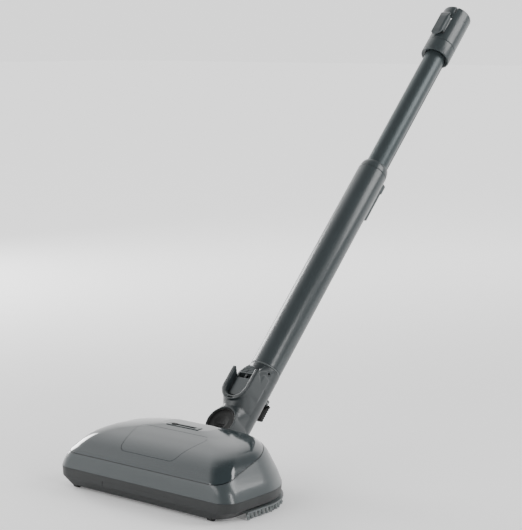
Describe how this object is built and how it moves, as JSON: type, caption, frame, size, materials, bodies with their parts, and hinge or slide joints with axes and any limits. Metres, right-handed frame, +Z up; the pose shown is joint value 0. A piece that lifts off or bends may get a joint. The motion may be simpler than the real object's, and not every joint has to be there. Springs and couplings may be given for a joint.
{
  "type": "power head with telescopic wand",
  "caption": "Wide low carpet brush head with a domed hood and rear brush skirt, a pitching neck and a two-part telescopic wand with a latched top collar.",
  "frame": {"origin": "on the floor under the middle of the overall bounding box", "axes": "+Y from the head towards the wand top, +X to the right seen from the user, +Z up"},
  "size_m": [0.363, 0.8879, 0.7565],
  "materials": {
    "black_plastic": "textured black ABS",
    "grey_plastic": "satin dark grey ABS",
    "smoke_plastic": "polished smoke-grey polycarbonate",
    "wand_plastic": "satin slate-grey ABS",
    "wand_metal": "dark anodised aluminium",
    "steel": "plain steel",
    "screw_steel": "zinc-plated steel",
    "motor_steel": "pressed steel can",
    "brass_bush": "sintered bronze",
    "belt_rubber": "moulded rubber",
    "wheel_rubber": "soft wheel tread",
    "bristle": "nylon bristle",
    "tuft": "soft grey brush fibre",
    "rim_grey": "light grey ABS",
    "roll_alloy": "extruded aluminium brush core",
    "board": "glass-epoxy board"
  },
  "bodies": {
    "base": {"base_housing": "black_plastic", "screw_bosses": "black_plastic", "sole_plate": "steel", "sole_screws": "screw_steel", "middle_shell": "grey_plastic", "hood_cover": "smoke_plastic", "hood_panel": "smoke_plastic", "height_bezel": "black_plastic", "front_plate": "black_plastic", "brush_bearings": "brass_bush", "motor_can": "motor_steel", "motor_cradle": "black_plastic", "drive_belt": "belt_rubber", "brush_chamber": "black_plastic", "suction_duct": "black_plastic", "circuit_board": "board", "board_standoffs": "black_plastic", "wheel_pins": "steel", "roller_pins": "steel", "skirt_carrier": "rim_grey", "skirt_tufts": "tuft", "pivot_caps": "black_plastic"},
    "brush_roll": {"brush_core": "roll_alloy", "brush_shaft": "steel", "brush_pulley": "black_plastic", "brush_bristles": "bristle"},
    "motor_rotor": {"motor_shaft": "steel", "motor_pulley": "steel"},
    "wheel_left": {"rear_wheel_left": "wheel_rubber"},
    "wheel_right": {"rear_wheel_right": "wheel_rubber"},
    "roller_left": {"front_roller_left": "wheel_rubber"},
    "roller_right": {"front_roller_right": "wheel_rubber"},
    "selector": {"height_slider": "black_plastic"},
    "neck": {"neck_front_shell": "wand_plastic", "neck_rear_shell": "wand_plastic", "cradle_plate": "grey_plastic", "release_spring": "steel", "lever_pin": "steel"},
    "release": {"release_button": "grey_plastic"},
    "pedal": {"toe_pedal": "black_plastic"},
    "lever": {"rear_lever": "black_plastic"},
    "lower_wand": {"wand_spigot": "wand_plastic", "lower_tube": "wand_plastic", "shoulder_bush": "wand_plastic", "lock_housing": "wand_plastic", "lock_spring": "steel"},
    "lock": {"lock_button": "black_plastic"},
    "upper_wand": {"upper_tube": "wand_metal", "upper_rail": "wand_plastic", "collar_sleeve": "wand_plastic", "collar_head": "wand_plastic"},
    "latch": {"collar_latch": "wand_plastic"}
  },
  "joints": [
    {"name": "neck_pitch", "type": "hinge", "parent": "base", "child": "neck", "pos_m": [0, -0.24837, 0.0419], "axis": [-1, 0, 0], "range_deg": [-30, 35]},
    {"name": "wand_detach", "type": "slide", "parent": "neck", "child": "lower_wand", "axis": [0, 0.6972, 0.7169], "range_m": [0, 0.045]},
    {"name": "telescope", "type": "slide", "parent": "lower_wand", "child": "upper_wand", "axis": [0, 0.6972, 0.7169], "range_m": [-0.245, 0.03]},
    {"name": "lock_button_slide", "type": "slide", "parent": "lower_wand", "child": "lock", "axis": [0, 0.6972, 0.7169], "range_m": [0, 0.0055], "stiffness_N_per_m": 300},
    {"name": "brush_spin", "type": "hinge", "parent": "base", "child": "brush_roll", "pos_m": [0, -0.39937, 0.025], "axis": [1, 0, 0], "continuous": true},
    {"name": "motor_spin", "type": "hinge", "parent": "base", "child": "motor_rotor", "pos_m": [0, -0.32437, 0.047], "axis": [1, 0, 0], "continuous": true},
    {"name": "wheel_left_spin", "type": "hinge", "parent": "base", "child": "wheel_left", "pos_m": [-0.072, -0.25337, 0.015], "axis": [1, 0, 0], "continuous": true},
    {"name": "wheel_right_spin", "type": "hinge", "parent": "base", "child": "wheel_right", "pos_m": [0.072, -0.25337, 0.015], "axis": [1, 0, 0], "continuous": true},
    {"name": "roller_left_spin", "type": "hinge", "parent": "base", "child": "roller_left", "pos_m": [-0.14, -0.43062, 0.0055], "axis": [1, 0, 0], "continuous": true},
    {"name": "roller_right_spin", "type": "hinge", "parent": "base", "child": "roller_right", "pos_m": [0.14, -0.43062, 0.0055], "axis": [1, 0, 0], "continuous": true},
    {"name": "height_select", "type": "slide", "parent": "base", "child": "selector", "axis": [1, 0, 0], "range_m": [0, 0.04]},
    {"name": "release_press", "type": "slide", "parent": "neck", "child": "release", "axis": [0, -0.6972, -0.7169], "range_m": [0, 0.005], "stiffness_N_per_m": 300},
    {"name": "pedal_press", "type": "slide", "parent": "neck", "child": "pedal", "axis": [0, 0.7169, -0.6972], "range_m": [0, 0.003], "stiffness_N_per_m": 500},
    {"name": "lever_press", "type": "hinge", "parent": "neck", "child": "lever", "pos_m": [0, -0.14105, 0.10492], "axis": [-1, 0, 0], "range_deg": [0, 8], "stiffness_Nm_per_rad": 0.3},
    {"name": "latch_press", "type": "slide", "parent": "upper_wand", "child": "latch", "axis": [0, 0.7169, -0.6972], "range_m": [0, 0.003], "stiffness_N_per_m": 500}
  ],
  "couplings": [
    {"joint": "motor_spin", "follows": "brush_spin", "ratio": 2}
  ]
}
